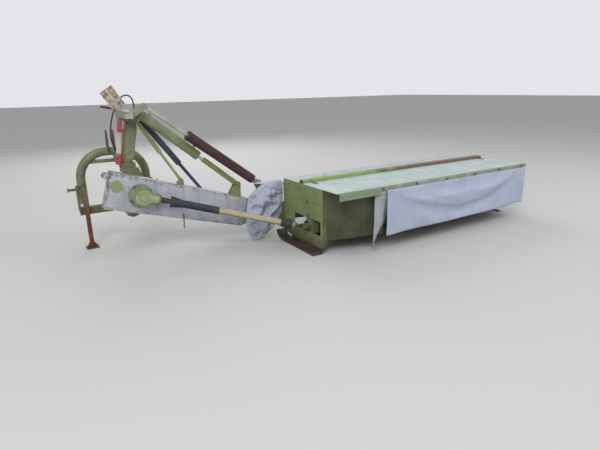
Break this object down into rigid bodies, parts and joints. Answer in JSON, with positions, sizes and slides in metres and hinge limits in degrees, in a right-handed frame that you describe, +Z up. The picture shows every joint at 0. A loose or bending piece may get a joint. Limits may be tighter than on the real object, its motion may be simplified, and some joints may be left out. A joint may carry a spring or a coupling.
{
  "type": "disc mower conditioner",
  "caption": "Side-hung rear disc mower conditioner: hitch arch, leaning column, lift cylinder, relief spring, white boom, drive shaft, hooded disc bar with tined rotor and cloth curtains.",
  "frame": {"origin": "middle of the whole machine's footprint box, on the ground", "axes": "+X to the right along the cutterbar as seen from behind, +Y forwards in the driving direction, +Z up"},
  "size_m": [5.1606, 2.1782, 1.7525],
  "materials": {
    "faded_green": "faded seed green enamel",
    "deep_green": "dirty green enamel",
    "hood_paint": "chalked pale green enamel with rust flecks",
    "boom_white": "dirty white enamel",
    "rusty_steel": "weathered brown rust",
    "dark_steel": "dark worn steel",
    "chrome_rod": "hard chrome with a green sleeve",
    "guard_tan": "sun-bleached guard tube",
    "strut_blue": "dark blue-black enamel",
    "tie_yellow": "yellowed green enamel",
    "cover_cloth": "white coated tarpaulin",
    "sign_red": "faded red and white stripes",
    "sign_pale": "faded white and tan boards"
  },
  "bodies": {
    "headstock": {"arch": "faded_green", "link_plates": "deep_green", "bearing_bracket": "faded_green", "top_link_plates": "rusty_steel", "leg_sleeve": "faded_green"},
    "stand": {"parking_leg": "rusty_steel"},
    "swing": {"swing_frame": "deep_green", "column": "faded_green", "head": "faded_green", "striped_board": "sign_red", "top_boards": "sign_pale"},
    "boom": {"boom_beam": "boom_white", "gearbox": "faded_green", "rod_bracket": "faded_green", "float_carrier": "boom_white", "drive_shaft": "guard_tan"},
    "barrel": {"cylinder_barrel": "faded_green"},
    "rod": {"cylinder_rod": "chrome_rod"},
    "spring_guide": {"spring_bar": "boom_white"},
    "spring": {"relief_spring": "rusty_steel"},
    "tie": {"tie_sleeve": "tie_yellow"},
    "tie_end": {"tie_rod": "tie_yellow"},
    "strut": {"strut_tube": "strut_blue"},
    "strut_end": {"strut_rod": "strut_blue"},
    "mower": {"mower_frame": "deep_green", "inner_plate": "faded_green", "outer_plate": "faded_green", "rear_hood": "hood_paint", "inner_drive": "deep_green", "cutterbar": "dark_steel", "inner_shoe": "dark_steel", "outer_shoe": "dark_steel", "swath_boards": "deep_green", "rear_curtain": "cover_cloth", "pivot_cover": "cover_cloth"},
    "guard": {"front_guard": "hood_paint", "front_curtain": "cover_cloth"},
    "rotor": {"conditioner_rotor": "rusty_steel"},
    "mowing_disc_1": {"disc_1": "dark_steel"},
    "mowing_disc_2": {"disc_2": "dark_steel"},
    "mowing_disc_3": {"disc_3": "dark_steel"},
    "mowing_disc_4": {"disc_4": "dark_steel"},
    "mowing_disc_5": {"disc_5": "dark_steel"},
    "mowing_disc_6": {"disc_6": "dark_steel"},
    "mowing_disc_7": {"disc_7": "dark_steel"}
  },
  "joints": [
    {"name": "leg_slide", "type": "slide", "parent": "headstock", "child": "stand", "axis": [0, 0, 1], "range_m": [0, 0.3]},
    {"name": "transport_swing", "type": "hinge", "parent": "headstock", "child": "swing", "pos_m": [-2.00975, 0.54715, 0.9], "axis": [0, 0, -1], "range_deg": [0, 90]},
    {"name": "boom_lift", "type": "hinge", "parent": "swing", "child": "boom", "pos_m": [-1.97975, 0.38715, 0.665], "axis": [0, -1, 0], "range_deg": [0, 28]},
    {"name": "cylinder_tilt", "type": "hinge", "parent": "swing", "child": "barrel", "pos_m": [-1.90975, 0.29715, 1.5], "axis": [0, -1, 0], "range_deg": [0, 19.45]},
    {"name": "cylinder_stroke", "type": "slide", "parent": "barrel", "child": "rod", "axis": [-0.7676, 0, 0.6409], "range_m": [0, 0.3684]},
    {"name": "spring_tilt", "type": "hinge", "parent": "swing", "child": "spring_guide", "pos_m": [-1.86475, 0.16315, 1.55], "axis": [0, -1, 0], "range_deg": [0, 21.83]},
    {"name": "spring_stroke", "type": "slide", "parent": "spring_guide", "child": "spring", "axis": [-0.798, 0, 0.6027], "range_m": [0, 0.4104]},
    {"name": "tie_tilt", "type": "hinge", "parent": "swing", "child": "tie", "pos_m": [-1.91975, 0.37515, 1.425], "axis": [0, -1, 0], "range_deg": [0, 3.26]},
    {"name": "tie_stroke", "type": "slide", "parent": "tie", "child": "tie_end", "axis": [-0.5209, 0, 0.8536], "range_m": [0, 0.231]},
    {"name": "strut_tilt", "type": "hinge", "parent": "swing", "child": "strut", "pos_m": [-1.86475, 0.43515, 1.44], "axis": [0, -1, 0], "range_deg": [0, 13.22]},
    {"name": "strut_stroke", "type": "slide", "parent": "strut", "child": "strut_end", "axis": [-0.5865, 0, 0.8099], "range_m": [0, 0.2978]},
    {"name": "mower_float", "type": "hinge", "parent": "boom", "child": "mower", "pos_m": [-0.49975, 0.00715, 0.26], "axis": [0, -1, 0], "range_deg": [-6, 12]},
    {"name": "guard_hinge", "type": "hinge", "parent": "mower", "child": "guard", "pos_m": [-0.41975, -0.31685, 0.712], "axis": [1, 0, 0], "range_deg": [0, 80]},
    {"name": "disc_1_spin", "type": "hinge", "parent": "mower", "child": "mowing_disc_1", "pos_m": [-0.16375, -0.29285, 0.1], "axis": [0, 0, 1], "continuous": true},
    {"name": "disc_2_spin", "type": "hinge", "parent": "mower", "child": "mowing_disc_2", "pos_m": [0.24425, -0.29285, 0.1], "axis": [0, 0, 1], "continuous": true},
    {"name": "disc_3_spin", "type": "hinge", "parent": "mower", "child": "mowing_disc_3", "pos_m": [0.65225, -0.29285, 0.1], "axis": [0, 0, 1], "continuous": true},
    {"name": "disc_4_spin", "type": "hinge", "parent": "mower", "child": "mowing_disc_4", "pos_m": [1.06025, -0.29285, 0.1], "axis": [0, 0, 1], "continuous": true},
    {"name": "disc_5_spin", "type": "hinge", "parent": "mower", "child": "mowing_disc_5", "pos_m": [1.46825, -0.29285, 0.1], "axis": [0, 0, 1], "continuous": true},
    {"name": "disc_6_spin", "type": "hinge", "parent": "mower", "child": "mowing_disc_6", "pos_m": [1.87625, -0.29285, 0.1], "axis": [0, 0, 1], "continuous": true},
    {"name": "disc_7_spin", "type": "hinge", "parent": "mower", "child": "mowing_disc_7", "pos_m": [2.28425, -0.29285, 0.1], "axis": [0, 0, 1], "continuous": true},
    {"name": "rotor_spin", "type": "hinge", "parent": "mower", "child": "rotor", "pos_m": [0.08025, -0.75785, 0.43], "axis": [1, 0, 0], "continuous": true}
  ],
  "couplings": [
    {"joint": "cylinder_tilt", "follows": "boom_lift", "ratio": 0.6928},
    {"joint": "cylinder_stroke", "follows": "boom_lift", "m_per_rad": 0.75173},
    {"joint": "spring_tilt", "follows": "boom_lift", "ratio": 0.77783},
    {"joint": "spring_stroke", "follows": "boom_lift", "m_per_rad": 0.83783},
    {"joint": "tie_tilt", "follows": "boom_lift", "ratio": 0.1148},
    {"joint": "tie_stroke", "follows": "boom_lift", "m_per_rad": 0.47063},
    {"joint": "strut_tilt", "follows": "boom_lift", "ratio": 0.47047},
    {"joint": "strut_stroke", "follows": "boom_lift", "m_per_rad": 0.60738},
    {"joint": "disc_2_spin", "follows": "disc_1_spin", "ratio": -1},
    {"joint": "disc_3_spin", "follows": "disc_1_spin", "ratio": 1},
    {"joint": "disc_4_spin", "follows": "disc_1_spin", "ratio": -1},
    {"joint": "disc_5_spin", "follows": "disc_1_spin", "ratio": 1},
    {"joint": "disc_6_spin", "follows": "disc_1_spin", "ratio": -1},
    {"joint": "disc_7_spin", "follows": "disc_1_spin", "ratio": 1},
    {"joint": "rotor_spin", "follows": "disc_1_spin", "ratio": 0.3}
  ]
}
